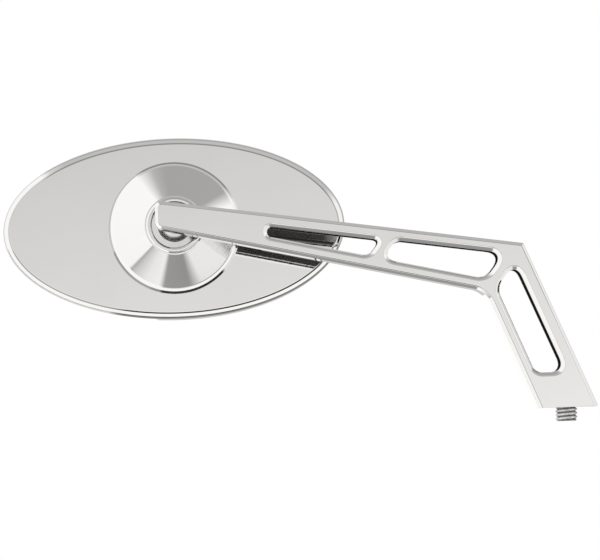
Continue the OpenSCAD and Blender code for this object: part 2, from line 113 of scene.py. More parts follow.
direction = tent.new("ShaderNodeTexCoord").outputs["Generated"]
parts = tent.new("ShaderNodeSeparateXYZ")
wire.new(direction, parts.inputs[0])
across, inward, upward = parts.outputs
# 0 is straight behind the camera, 1 straight behind the mirror
depth = tent_math("DIVIDE", tent_math("ARCCOSINE", tent_math("MULTIPLY", inward, -1)), math.pi)
# 0 is on the right, 0.25 overhead, 0.5 on the left, 0.75 below
turn = tent_math("FRACT", tent_math("DIVIDE", tent_math("ARCTAN2", upward, across), 2 * math.pi))
# Each side of the tent, as pairs of depth and shade
wall = tent_ramp(depth, [(0.083, 0.35), (0.16, 0.35), (0.22, 0.95), (0.54, 1.05), (0.58, 0.4), (0.72, 0.4),
                         (1, 0.65)])
roof = tent_ramp(depth, [(0.083, 0.3), (0.2, 0.27), (0.26, 0.45), (0.3, 0.58), (0.42, 0.57), (0.5, 0.52),
                         (0.56, 0.5), (0.62, 0.22), (0.74, 0.27), (0.79, 0.57), (1, 0.6)])
left = tent_ramp(depth, [(0.083, 0.8), (0.16, 0.65), (0.24, 0.65), (0.28, 1.05), (0.7, 1.05), (0.76, 0.75),
                         (0.86, 0.75), (0.92, 1.05), (1, 1.05)])
table = tent_ramp(depth, [(0.26, 0.9), (0.285, 1.05), (0.388, 1.05), (0.41, 0.36), (0.53, 0.36), (0.57, 0.02),
                          (0.72, 0.03), (0.76, 0.25), (0.83, 0.55), (1, 0.62)])
dark = tent_ramp(depth, [(0, 0.02), (1, 0.02)])
dusk = tent_ramp(depth, [(0, 0.4), (1, 0.4)])
bright = tent_ramp(depth, [(0, 1.25), (1, 1.25)])
# What the cone sees, all the way round, as pairs of turn and shade
belt = tent_ramp(turn, [(0, 0.9), (0.03, 1.05), (0.066, 1.05), (0.105, 0.42), (0.27, 0.41), (0.3, 0.5),
                        (0.34, 1.05), (0.603, 1.02), (0.607, 0.38), (0.618, 0.6), (0.64, 0.76), (0.66, 0.88),
                        (0.7, 0.95), (0.716, 0.34), (0.79, 0.31), (0.826, 0.9), (1, 0.9)])


def between(place, start, end, soft):
    """1 between start and end, 0 outside, with edges this soft."""
    rise = tent_math("DIVIDE", tent_math("SUBTRACT", place, start - soft / 2), soft, clamp=True)
    fall = tent_math("DIVIDE", tent_math("SUBTRACT", end + soft / 2, place), soft, clamp=True)
    return tent_math("MULTIPLY", rise, fall)


def product(*shares):
    whole = shares[0]
    for share in shares[1:]:
        whole = tent_math("MULTIPLY", whole, share)
    return whole


room = tent_mix(between(turn, 0.1, 0.335, 0.04), wall, roof)
room = tent_mix(between(turn, 0.335, 0.71, 0.01), room, left)
below = between(turn, 0.71, 0.945, 0.01)
room = tent_mix(below, room, table)
# A dark table edge below the camera gives the black lines at the cone's foot and the lower rim
room = tent_mix(product(below, between(depth, 0.092, 0.19, 0.015)), room, dark)
room = tent_mix(product(between(turn, 0.678, 0.895, 0.01), between(depth, 0.19, 0.275, 0.02)), room, dark)
room = tent_mix(between(depth, 0.425, 0.508, 0.012), room, belt)
# Down to the left: what the edges' inner rolls, the chamfers and the outer rolls see
low_left = between(turn, 0.54, 0.708, 0.008)
room = tent_mix(product(low_left, between(depth, 0.12, 0.27, 0.03)), room, dusk)
room = tent_mix(product(low_left, between(depth, 0.465, 0.55, 0.01)), room, bright)
room = tent_mix(product(low_left, between(depth, 0.56, 0.7, 0.02)), room, dark)
# Straight in front the tent is brightest low down, and ends at the table's height
front = tent_math("SUBTRACT", 0.861, tent_math("MULTIPLY", upward, 1.6))
front = tent_math("ADD", front, tent_math("MULTIPLY", across, 0.25))
above = tent_math("MULTIPLY_ADD", upward, 25, 2.8, clamp=True)
room = tent_mix(product(between(depth, -1, 0.081, 0.004), above), room, tent_ramp(front, [(0, 0), (1, 1)]))
# The camera sees plain white, and only the metal sees the tent
seen = tent.new("ShaderNodeLightPath")
tent_light = tent.new("ShaderNodeBackground")
wire.new(room, tent_light.inputs[0])
white = tent.new("ShaderNodeBackground")
white.inputs[0].default_value = (1, 1, 1, 1)
pick = tent.new("ShaderNodeMixShader")
wire.new(seen.outputs["Is Camera Ray"], pick.inputs[0])
wire.new(tent_light.outputs[0], pick.inputs[1])
wire.new(white.outputs[0], pick.inputs[2])
wire.new(pick.outputs[0], tent.new("ShaderNodeOutputWorld").inputs[0])

bpy.ops.object.light_add(type="AREA", location=(-0.4, -0.7, 0.9))
lamp = bpy.context.object
lamp.name = "soft_lamp"
lamp.rotation_euler = (Vector((-0.1, 0, 0.05)) - lamp.location).to_track_quat("-Z", "Y").to_euler()
lamp.data.size = 0.8
lamp.data.energy = 8
lamp.visible_glossy = False

bpy.ops.mesh.primitive_circle_add(vertices=96, radius=1.1, fill_type="NGON", location=(-0.1, 0, -0.07))
floor = bpy.context.object
floor.name = "floor"
bpy.ops.object.transform_apply(location=True)
floor.visible_glossy = False
floor_paint = bpy.data.materials.new("pale_floor")
floor_paint.use_nodes = True
paint = floor_paint.node_tree
paint.nodes.clear()
matt = paint.nodes.new("ShaderNodeBsdfDiffuse")
matt.inputs[0].default_value = (0.9, 0.9, 0.9, 1)
glow = paint.nodes.new("ShaderNodeEmission")
rays = paint.nodes.new("ShaderNodeLightPath")
blend = paint.nodes.new("ShaderNodeMixShader")
paint.links.new(rays.outputs["Is Camera Ray"], blend.inputs[0])
paint.links.new(matt.outputs[0], blend.inputs[1])
paint.links.new(glow.outputs[0], blend.inputs[2])
paint.links.new(blend.outputs[0], paint.nodes.new("ShaderNodeOutputMaterial").inputs[0])
floor.data.materials.append(floor_paint)


# Arm
# The arm is sawn and milled from 10 mm aluminium plate, with three slots to lighten it. Every
# edge is chamfered, then the whole is buffed until it is bright.
mm = 0.001
touching = 1e-6
arm_front = -5 * mm
arm_back = 5 * mm
front_chamfer = 1.05 * mm
front_roll = 0.25 * mm
back_chamfer = 0.6 * mm
back_roll = 0.35 * mm
toe_round = 0.8 * mm
buffed_edge = 0.13 * mm
tip_radius = 2.6 * mm
bend_radius = 8.5 * mm
ball = Vector((-141, 0, 72)) * mm
tip_top = Vector((-148, 79.8)) * mm
tip_bottom = Vector((-148, 69.8)) * mm
crotch = Vector((-28.3, 43.2)) * mm
heel = Vector((-10.5, 0)) * mm
toe = Vector((11.3, 0)) * mm
elbow = Vector((-14, 60.4)) * mm


def choose(piece):
    """Selects this piece alone and makes it the active one."""
    bpy.ops.object.select_all(action="DESELECT")
    piece.select_set(True)
    bpy.context.view_layer.objects.active = piece


def grab(piece, mode, wanted):
    """Leaves the piece in edit mode with only the wanted vertices, edges or faces selected."""
    choose(piece)
    bpy.ops.object.mode_set(mode="EDIT")
    bpy.ops.mesh.select_mode(type=mode)
    bpy.ops.mesh.select_all(action="DESELECT")
    bpy.ops.object.mode_set(mode="OBJECT")
    mesh = piece.data
    if mode == "VERT":
        for vertex in mesh.vertices:
            vertex.select = wanted(vertex.co)
    elif mode == "EDGE":
        for edge in mesh.edges:
            edge.select = wanted(*(mesh.vertices[i].co for i in edge.vertices))
    else:
        for face in mesh.polygons:
            face.select = wanted(face)
    bpy.ops.object.mode_set(mode="EDIT")


def done():
    bpy.ops.object.mode_set(mode="OBJECT")


def plate_outline(name, corners, depth, radii, steps):
    """A flat face with these corners, in X and Z at a depth, each rounded by its radius."""
    bpy.ops.mesh.primitive_circle_add(vertices=len(corners), radius=0.01, fill_type="NGON")
    piece = bpy.context.object
    piece.name = name
    for vertex, corner in zip(piece.data.vertices, corners):
        vertex.co = (corner.x, depth, corner.y)
    for i, (corner, radius) in enumerate(zip(corners, radii)):
        if radius == 0:
            continue
        before = (corners[i - 1] - corner).normalized()
        after = (corners[(i + 1) % len(corners)] - corner).normalized()
        half = before.angle(after) / 2
        place = Vector((corner.x, depth, corner.y))
        grab(piece, "VERT", lambda co: (co - place).length < touching)
        bpy.ops.mesh.bevel(offset_type="OFFSET", offset=radius / math.tan(half), segments=steps,
                           affect="VERTICES", profile=0.5)
        done()
    return piece


def outward(piece):
    """Merges doubled vertices and turns every face outwards."""
    grab(piece, "FACE", lambda face: True)
    bpy.ops.mesh.remove_doubles(threshold=1e-7)
    bpy.ops.mesh.normals_make_consistent(inside=False)
    done()


def use_modifier(piece, kind, **settings):
    """Adds a modifier with these settings and applies it."""
    choose(piece)
    modifier = piece.modifiers.new(kind.lower(), kind)
    for key, value in settings.items():
        setattr(modifier, key, value)
    bpy.ops.object.modifier_apply(modifier=modifier.name)


def cut_away(piece, cutter):
    use_modifier(piece, "BOOLEAN", operation="DIFFERENCE", object=cutter, solver="EXACT")
    bpy.data.objects.remove(cutter)


def smooth(piece, degrees):
    """Shades a piece smooth up to this angle, and keeps its large faces flat."""
    choose(piece)
    bpy.ops.object.shade_smooth_by_angle(angle=math.radians(degrees))
    use_modifier(piece, "WEIGHTED_NORMAL", keep_sharp=True)


arm = plate_outline("slotted_arm", [tip_bottom, crotch, heel, toe, elbow, tip_top], arm_front,
                    [tip_radius, bend_radius, 0, 0, 0, tip_radius], 12)
grab(arm, "FACE", lambda face: True)
bpy.ops.mesh.extrude_region_move(TRANSFORM_OT_translate={"value": (0, arm_back - arm_front, 0)})
done()
outward(arm)
# The edges are chamfered and then rolled over, in front all round except at the foot's seat
for width, segments in ((front_chamfer, 1), (front_roll, 4)):
    grab(arm, "EDGE", lambda a, b: abs(a.y - arm_front) < touching and abs(b.y - arm_front) < touching
         and max(a.z, b.z) > 0.1 * mm)
    bpy.ops.mesh.bevel(offset_type="OFFSET", offset=width, segments=segments, affect="EDGES")
    done()
for width, segments in ((back_chamfer, 1), (back_roll, 2)):
    grab(arm, "EDGE", lambda a, b: abs(a.y - arm_back) < touching and abs(b.y - arm_back) < touching)
    bpy.ops.mesh.bevel(offset_type="OFFSET", offset=width, segments=segments, affect="EDGES")
    done()
# The foot's front edge is only broken, and its sharp toe is rounded
grab(arm, "EDGE", lambda a, b: max(a.y, b.y) < arm_front + touching and max(a.z, b.z) < touching)
bpy.ops.mesh.bevel(offset_type="OFFSET", offset=front_roll, segments=2, affect="EDGES")
done()
grab(arm, "EDGE", lambda a, b: min(a.x, b.x) > toe.x - touching)
bpy.ops.mesh.bevel(offset_type="OFFSET", offset=toe_round, segments=6, affect="EDGES")
done()
outward(arm)
use_modifier(arm, "BEVEL", width=buffed_edge, segments=3, limit_method="ANGLE",
             angle_limit=math.radians(32), use_clamp_overlap=True)


def crossing(a, u, b, v):
    """Where the line through a along u meets the line through b along v."""
    k = ((b.x - a.x) * v.y - (b.y - a.y) * v.x) / (u.x * v.y - u.y * v.x)
    return a + k * u


def leftward(v):
    return Vector((-v.y, v.x)).normalized()


# The slots' sides run along the plate's own edges, and two slanted ribs part them
top_run = (tip_top - elbow).normalized()
bottom_run = (crotch - tip_bottom).normalized()
inner_run = (heel - crotch).normalized()
outer_run = (elbow - toe).normalized()
rib_run = Vector((math.cos(math.radians(52)), math.sin(math.radians(52))))
rib_side = leftward(rib_run)
upright = Vector((0, 1))
level = Vector((1, 0))
first_rib_half = 1.05 * mm
second_rib_half = 1.35 * mm


def middle(x):
    """The point halfway between the arm's upper and lower edge at x."""
    return (crossing(elbow, top_run, Vector((x, 0)), upright)
            + crossing(crotch, bottom_run, Vector((x, 0)), upright)) / 2


first_rib = middle(-66 * mm)
second_rib = middle(-22.7 * mm) - Vector((0, 1.2 * mm))


def beam_slot(above, below, end_a, run_a, end_b, run_b):
    """The corners of a slot in the beam, with bars this wide above and below it."""
    upper = elbow + leftward(top_run) * above
    lower = crotch + leftward(bottom_run) * below
    return [crossing(lower, bottom_run, end_a, run_a), crossing(lower, bottom_run, end_b, run_b),
            crossing(upper, top_run, end_b, run_b), crossing(upper, top_run, end_a, run_a)]


inner_bar = 2.9 * mm
outer_bar = 4.4 * mm
leg_inner = crotch + leftward(inner_run) * inner_bar
leg_outer = toe + leftward(outer_run) * outer_bar
rib_foot = second_rib - rib_side * second_rib_half
slot_floor = Vector((0, 11.7 * mm))
first_slot_end = Vector((-108.8 * mm, 0))
# Each slot has its four corners and their radii
mouths = [
    (beam_slot(3.6 * mm, 3.4 * mm, first_slot_end, upright, first_rib + rib_side * first_rib_half, rib_run),
     [2.9 * mm, 5.2 * mm, 2.9 * mm, 2.9 * mm]),
    (beam_slot(3.1 * mm, 3.3 * mm, first_rib - rib_side * first_rib_half, rib_run,
               second_rib + rib_side * second_rib_half, rib_run),
     [4.2 * mm, 7 * mm, 4.8 * mm, 5.5 * mm]),
    ([crossing(leg_inner, inner_run, rib_foot, rib_run), crossing(leg_inner, inner_run, slot_floor, level),
      crossing(leg_outer, outer_run, slot_floor, level), crossing(leg_outer, outer_run, rib_foot, rib_run)],
     [7 * mm, 5 * mm, 4.8 * mm, 4.6 * mm]),
]
mouth_chamfer = 1.2 * mm
# The mouth rolls over from the flat into its chamfer, as pairs of width and depth
rolled = [(0.33 * mm, 0), (0.26 * mm, 0.006 * mm), (0.2 * mm, 0.025 * mm), (-0.1 * mm, 0.19 * mm)]
past = rolled[0][0]
mouth_steps = list(zip(rolled, rolled[1:] + [(-mouth_chamfer, mouth_chamfer)]))
for mouth, radii in mouths:
    # Each cutter starts wider than the mouth and in front of it, and is then mirrored to the back
    sides = [(mouth[(i + 1) % 4] - mouth[i]).normalized() for i in range(4)]
    wide = [crossing(mouth[i] - leftward(sides[i - 1]) * past, sides[i - 1],
                     mouth[i] - leftward(sides[i]) * past, sides[i]) for i in range(4)]
    cutter = plate_outline("slot_cutter", wide, arm_front - past, [radius + past for radius in radii], 14)
    grab(cutter, "FACE", lambda face: True)
    bpy.ops.mesh.normals_make_consistent(inside=False)
    bpy.ops.mesh.extrude_region_move(TRANSFORM_OT_translate={"value": (0, past, 0)})
    for (wider, shallow), (narrower, deep) in mouth_steps:
        bpy.ops.mesh.inset(thickness=wider - narrower, depth=0, use_even_offset=True)
        bpy.ops.transform.translate(value=(0, deep - shallow, 0))
    bpy.ops.mesh.extrude_region_move(TRANSFORM_OT_translate={"value": (0, -arm_front - mouth_chamfer, 0)})
    bpy.ops.mesh.delete(type="ONLY_FACE")
    done()
    use_modifier(cutter, "MIRROR", use_axis=(False, True, False), merge_threshold=1e-5)
    grab(cutter, "EDGE", lambda a, b: True)
    bpy.ops.mesh.fill_holes(sides=0)
    done()
    outward(cutter)
    cut_away(arm, cutter)

# The stud's bore with its mouth at the seat, and the ball's tapped hole in the back of the tip
for bore_radius, bore_top in ((3.56 * mm, 9.5 * mm), (4.02 * mm, 0.8 * mm)):
    bpy.ops.mesh.primitive_cylinder_add(vertices=64, radius=bore_radius, depth=bore_top + mm,
                                        location=(0, 0, (bore_top - mm) / 2))
    cut_away(arm, bpy.context.object)
hole_radius = 2.95 * mm
hole_bottom = -1.5 * mm
hole_end = arm_back + mm
bpy.ops.mesh.primitive_cylinder_add(vertices=64, radius=hole_radius, depth=hole_end - hole_bottom,
                                    location=(ball.x, (hole_end + hole_bottom) / 2, ball.z),
                                    rotation=(math.pi / 2, 0, 0))
cut_away(arm, bpy.context.object)
smooth(arm, 20)


def shader(name, color, metallic, roughness):
    """A material with one Principled shader, and its node tree's nodes and links."""
    material = bpy.data.materials.new(name)
    material.use_nodes = True
    tree = material.node_tree
    surface = tree.nodes["Principled BSDF"]
    surface.inputs["Base Color"].default_value = (*color, 1)
    surface.inputs["Metallic"].default_value = metallic
    surface.inputs["Roughness"].default_value = roughness
    return material, tree.nodes, tree.links, surface


def group_math(group, operation, *values):
    """A sum in a node group, of plain values or other nodes' outputs."""
    step = group.nodes.new("ShaderNodeMath")
    step.operation = operation
    for slot, value in zip(step.inputs, values):
        if isinstance(value, (int, float)):
            slot.default_value = value
        else:
            group.links.new(value, slot)
    return step.outputs[0]


# Buffed metal: faint cloudy haze in the gloss, and hairlines left by the wheel
haze_size = 60
buffing = bpy.data.node_groups.new("buffing", "ShaderNodeTree")
for label, kind in (("Position", "NodeSocketVector"), ("Haze Size", "NodeSocketFloat"),
                    ("Gloss", "NodeSocketFloat"), ("Haze", "NodeSocketFloat"),
                    ("Hairline", "NodeSocketFloat")):
    buffing.interface.new_socket(label, in_out="INPUT", socket_type=kind)
for label, kind in (("Roughness", "NodeSocketFloat"), ("Tone", "NodeSocketFloat"),
                    ("Normal", "NodeSocketVector")):
    buffing.interface.new_socket(label, in_out="OUTPUT", socket_type=kind)
given = buffing.nodes.new("NodeGroupInput").outputs
result = buffing.nodes.new("NodeGroupOutput").inputs
cloud = buffing.nodes.new("ShaderNodeTexNoise")
buffing.links.new(given["Position"], cloud.inputs["Vector"])
buffing.links.new(given["Haze Size"], cloud.inputs["Scale"])
cloud.inputs["Detail"].default_value = 4
stretch = buffing.nodes.new("ShaderNodeMapping")
stretch.inputs["Scale"].default_value = (120, 2600, 2600)
stretch.inputs["Rotation"].default_value = (0, math.radians(11), 0)
buffing.links.new(given["Position"], stretch.inputs["Vector"])
hair = buffing.nodes.new("ShaderNodeTexNoise")
hair.inputs["Scale"].default_value = 1
hair.inputs["Detail"].default_value = 2
buffing.links.new(stretch.outputs[0], hair.inputs["Vector"])
soft = group_math(buffing, "MULTIPLY", cloud.outputs["Fac"], given["Haze"])
buffing.links.new(group_math(buffing, "ADD", soft, given["Gloss"]), result["Roughness"])
lighter = group_math(buffing, "MULTIPLY", group_math(buffing, "SUBTRACT", cloud.outputs["Fac"], 0.5), 0.05)
buffing.links.new(group_math(buffing, "ADD", 0.99, lighter), result["Tone"])
scratch = buffing.nodes.new("ShaderNodeBump")
scratch.inputs["Distance"].default_value = 0.00002
buffing.links.new(given["Hairline"], scratch.inputs["Strength"])
buffing.links.new(hair.outputs["Fac"], scratch.inputs["Height"])
buffing.links.new(scratch.outputs[0], result["Normal"])


def buffed(name, color, gloss, haze, hairline, metallic=1.0):
    """A metal with this colour and gloss, under its own share of haze and hairlines."""
    material, nodes, links, surface = shader(name, color, metallic, gloss)
    place = nodes.new("ShaderNodeTexCoord").outputs["Object"]
    effect = nodes.new("ShaderNodeGroup")
    effect.node_tree = buffing
    links.new(place, effect.inputs["Position"])
    for label, value in (("Haze Size", haze_size), ("Gloss", gloss), ("Haze", haze), ("Hairline", hairline)):
        effect.inputs[label].default_value = value
    tint = nodes.new("ShaderNodeVectorMath")
    tint.operation = "SCALE"
    tint.inputs[0].default_value = color
    links.new(effect.outputs["Tone"], tint.inputs["Scale"])
    links.new(tint.outputs[0], surface.inputs["Base Color"])
    links.new(effect.outputs["Roughness"], surface.inputs["Roughness"])
    links.new(effect.outputs["Normal"], surface.inputs["Normal"])
    return material


# Painted shade: a metal's colour darkened with the distance from the origin, counted only along some of the
# axes
painted_shade_group = bpy.data.node_groups.new("painted_shade_group", "ShaderNodeTree")
for label, kind in (("Color", "NodeSocketColor"), ("Position", "NodeSocketVector"),
                    ("Axes", "NodeSocketVector"), ("Start", "NodeSocketFloat"), ("End", "NodeSocketFloat"),
                    ("Start Shade", "NodeSocketFloat"), ("End Shade", "NodeSocketFloat")):
    painted_shade_group.interface.new_socket(label, in_out="INPUT", socket_type=kind)
painted_shade_group.interface.new_socket("Color", in_out="OUTPUT", socket_type="NodeSocketColor")
given = painted_shade_group.nodes.new("NodeGroupInput").outputs
counted = painted_shade_group.nodes.new("ShaderNodeVectorMath")
counted.operation = "MULTIPLY"
painted_shade_group.links.new(given["Position"], counted.inputs[0])
painted_shade_group.links.new(given["Axes"], counted.inputs[1])
reach = painted_shade_group.nodes.new("ShaderNodeVectorMath")
reach.operation = "LENGTH"
painted_shade_group.links.new(counted.outputs[0], reach.inputs[0])
fade = painted_shade_group.nodes.new("ShaderNodeMapRange")
painted_shade_group.links.new(reach.outputs["Value"], fade.inputs["Value"])
for label, asked in (("Start", "From Min"), ("End", "From Max"), ("Start Shade", "To Min"),
                     ("End Shade", "To Max")):
    painted_shade_group.links.new(given[label], fade.inputs[asked])
dim = painted_shade_group.nodes.new("ShaderNodeVectorMath")
dim.operation = "SCALE"
painted_shade_group.links.new(given["Color"], dim.inputs[0])
painted_shade_group.links.new(fade.outputs[0], dim.inputs["Scale"])
painted_shade_group.links.new(dim.outputs[0], painted_shade_group.nodes.new("NodeGroupOutput").inputs["Color"])


def paint_shade(material, axes, start, end, start_shade, end_shade):
    """Paints shade: darkens a buffed material's colour between two distances from the origin."""
    nodes = material.node_tree.nodes
    links = material.node_tree.links
    color = nodes["Principled BSDF"].inputs["Base Color"]
    effect = nodes.new("ShaderNodeGroup")
    effect.node_tree = painted_shade_group
    for label, value in (("Axes", axes), ("Start", start), ("End", end), ("Start Shade", start_shade),
                         ("End Shade", end_shade)):
        effect.inputs[label].default_value = value
    links.new(nodes.new("ShaderNodeTexCoord").outputs["Object"], effect.inputs["Position"])
    links.new(color.links[0].from_socket, effect.inputs["Color"])
    links.new(effect.outputs["Color"], color)


polished = buffed("polished_aluminium", (0.9, 0.895, 0.885), 0.02, 0.02, 0.05)
# The slots' upper and outer walls are rough, and their colour is painted near black as shade inside the
# slots, behind a bright buffed lip
slot_wall_shade = buffed("slot_walls_painted_shade", (0.7, 0.7, 0.7), 0.5, 0.1, 0.3, metallic=0)
slot_wall_shade.node_tree.nodes["Principled BSDF"].inputs["Specular IOR Level"].default_value = 0
paint_shade(slot_wall_shade, (0, 1, 0), 0.0034, 0.0029, 1, 0.018)
# The arm's back is satin. Where it faces the housing its colour is darkened into a painted dark reflection.
satin_back_painted_reflection = buffed("satin_arm_back_painted_reflection", (0.72, 0.72, 0.72), 0.3, 0.1, 0.3)
paint_shade(satin_back_painted_reflection, (1, 0, 0), 0.076, 0.084, 1, 0.13)
for arm_material in (polished, slot_wall_shade, satin_back_painted_reflection):
    arm.data.materials.append(arm_material)
beside_slot = [[(mouth[(i + 1) % 4] - mouth[i]).normalized() for i in range(4)] for mouth, _ in mouths]
# The second material, with painted shade, goes on the slots' walls that face left or down, the third, satin
# with a painted dark reflection, on the back and on its chamfers
for face in arm.data.polygons:
    flat_centre = Vector((face.center.x, face.center.z))
    inside = any(all(leftward(side).dot(flat_centre - corner) > 0 for side, corner in zip(sides, mouth))
                 for sides, (mouth, _) in zip(beside_slot, mouths))
    if inside and abs(face.normal.y) < 0.1 and (face.normal.x < -0.5 or face.normal.z < -0.5):
        face.material_index = 1
    if face.normal.y > 0.99 and face.center.y > arm_back - 0.01 * mm:
        face.material_index = 2
    if not inside and abs(face.normal.y - math.sqrt(0.5)) < 0.01 and face.area > mm * mm:
        face.material_index = 2
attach(arm, "arm")
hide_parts("arm")


# Mounting stud
# A stainless stud with a rolled 5/16 inch thread, 18 turns to the inch, screwed up into the
# foot. Its free end is chamfered.
thread_pitch = 25.4 / 18
thread_crest = 3.95
thread_depth = 0.72
thread_end = 0.2
core_radius = 3.51
stud_out = 5
stud_in = 9
free_end_chamfer = 0.6
blank_radius = 3.9
undercut_radius = 3.6
undercut_start = -0.25
rings = 56


def turned(name, profile, centre, around, steps=160, filled=False):
    """A piece turned about an axis, from pairs of radius and height, run round as rings."""
    radius, height = profile[0]
    turn_to = (math.pi / 2, 0, 0) if around == "Y" else (0, 0, 0)
    axis = Vector((0, 1, 0)) if around == "Y" else Vector((0, 0, 1))
    bpy.ops.mesh.primitive_circle_add(vertices=steps, radius=radius * mm, fill_type="NOTHING",
                                      location=centre + axis * height * mm, rotation=turn_to)
    piece = bpy.context.object
    piece.name = name
    bpy.ops.object.transform_apply(location=True, rotation=True, scale=True)
    grab(piece, "EDGE", lambda a, b: True)
    for wider, further in profile[1:]:
        bpy.ops.mesh.extrude_region_move(TRANSFORM_OT_translate={"value": axis * (further - height) * mm})
        grow = wider / radius
        bpy.ops.transform.resize(value=(grow, 1, grow) if around == "Y" else (grow, grow, 1),
                                 center_override=centre + axis * further * mm)
        radius, height = wider, further
    if filled:
        bpy.ops.mesh.select_all(action="SELECT")
        bpy.ops.mesh.fill_holes(sides=0)
    done()
    outward(piece)
    return piece


heights = [-stud_out + (stud_out + thread_end) * i / rings for i in range(rings + 1)]
below_seat = [(blank_radius, height) for height in heights]
in_foot = [(core_radius, 0.3), (core_radius, stud_in)]
stud = turned("threaded_stud", below_seat + in_foot, Vector((0, 0, 0)), "Z", 96, True)
# The rings are pushed in and out along a helix, so that they rise to ridges
for vertex in stud.data.vertices:
    x, y, z = vertex.co / mm
    if z > thread_end / 2:
        continue
    lap = (z / thread_pitch - math.atan2(y, x) / (2 * math.pi)) % 1
    ridge = min(1, max(0, 1.25 - abs(lap - 0.5) * 2.5) * 1.1)
    surface_radius = thread_crest - thread_depth * (1 - ridge)
    surface_radius = min(surface_radius, thread_crest - free_end_chamfer + (z + stud_out))
    if z > undercut_start:
        surface_radius = min(surface_radius, undercut_radius)
    vertex.co.x *= surface_radius / math.hypot(x, y)
    vertex.co.y *= surface_radius / math.hypot(x, y)
smooth(stud, 50)
stainless = buffed("stainless_steel", (0.74, 0.73, 0.72), 0.32, 0.1, 0.3, metallic=0.65)
# Painted shade darkens the thread's roots
threaded_painted_shade = buffed("threaded_steel_painted_shade", (0.78, 0.77, 0.76), 0.32, 0.1, 0.3, metallic=0.65)
paint_shade(threaded_painted_shade, (1, 1, 0), 0.0033, 0.0038, 0.3, 1)
stud.data.materials.append(threaded_painted_shade)
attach(stud, "arm")
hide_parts("mount_stud")


# Ball stud
# Ball, neck and shank are ground from one piece of steel. The shank is screwed into the back
# of the arm's tip.
ball_depth = 18.6
ball_radius = 7
neck_radius = 3
neck_angle = math.asin(neck_radius / ball_radius)
sphere = [(ball_radius * math.sin(a), ball_depth - ball_radius * math.cos(a))
          for a in (neck_angle + (math.pi - 0.05 - neck_angle) * i / 48 for i in range(49))]
shank = [(2.5, -1.5), (2.9, -1.1), (2.9, 5), (2.6, 5.1), (2.6, 5.6), (neck_radius, 6)]
ball_stud = turned("ball_stud_turned", shank + sphere, ball, "Y", 96, True)
smooth(ball_stud, 30)
ball_steel = buffed("polished_steel", (0.75, 0.75, 0.75), 0.2, 0.06, 0.1)
ball_stud.data.materials.append(ball_steel)
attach(ball_stud, "arm")
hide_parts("ball_stud")


# Seat liners
# Two bands of white acetal lie between the ball and its seat, one in front and one behind.
# They are moulded, and stay in place because the collar presses them together.
acetal, nodes, links, surface = shader("liner_plastic", (0.82, 0.8, 0.74), 0, 0.45)
grain = nodes.new("ShaderNodeTexNoise")
grain.inputs["Scale"].default_value = 900
links.new(nodes.new("ShaderNodeTexCoord").outputs["Object"], grain.inputs["Vector"])
dimple = nodes.new("ShaderNodeBump")
dimple.inputs["Strength"].default_value = 0.1
dimple.inputs["Distance"].default_value = 0.0001
links.new(grain.outputs["Fac"], dimple.inputs["Height"])
links.new(dimple.outputs[0], surface.inputs["Normal"])


def dress(names, material):
    for name in names:
        cad[name].data.materials.clear()
        cad[name].data.materials.append(material)


dress(["front_liner", "rear_liner"], acetal)


# Socket collar
# A turned aluminium collar closes the socket round the ball. Its flange has a flat ring and a
# hollow that leads down to the ball, and its barrel screws into the boss.
seat_radius = 8
mouth_radius = 6.2
mouth_angle = math.asin(mouth_radius / seat_radius)
seat = [(seat_radius * math.sin(a), ball_depth - seat_radius * math.cos(a))
        for a in (math.pi / 2 + (mouth_angle - math.pi / 2) * i / 16 for i in range(17))]
flange = [(8.5, 12), (9.9, 12), (10.5, 12.6), (10.5, 13.7)]
barrel = [(9.6, 13.7), (9.6, 14), (8.7, 14), (8.7, 15), (9.6, 15), (9.6, ball_depth)]
collar = turned("ball_collar", flange + barrel + seat + [(8.5, 12.3), (8.5, 12)], ball, "Y")
use_modifier(collar, "BEVEL", width=0.12 * mm, segments=2, limit_method="ANGLE", angle_limit=math.radians(25))
smooth(collar, 35)
collar.data.materials.append(polished)
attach(collar, "head")
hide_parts("socket_collar")


# Inside the socket
# A rubber cord seals the collar. A steel cup, two disc springs and a washer press the ball
# forward, so the mirror stays where it is set.
rubber, nodes, links, surface = shader("black_rubber", (0.018, 0.018, 0.019), 0, 0.62)
bloom = nodes.new("ShaderNodeTexNoise")
bloom.inputs["Scale"].default_value = 220
bloom.inputs["Detail"].default_value = 5
links.new(nodes.new("ShaderNodeTexCoord").outputs["Object"], bloom.inputs["Vector"])
dull = nodes.new("ShaderNodeMapRange")
dull.inputs["To Min"].default_value = 0.5
dull.inputs["To Max"].default_value = 0.75
links.new(bloom.outputs["Fac"], dull.inputs["Value"])
links.new(dull.outputs[0], surface.inputs["Roughness"])
dress(["socket_seal"], rubber)
spring_steel = buffed("spring_steel", (0.2, 0.19, 0.18), 0.28, 0.15, 0.3)
dress(["pressure_cup", "thrust_washer"], stainless)
dress(["front_disc_spring", "rear_disc_spring"], spring_steel)


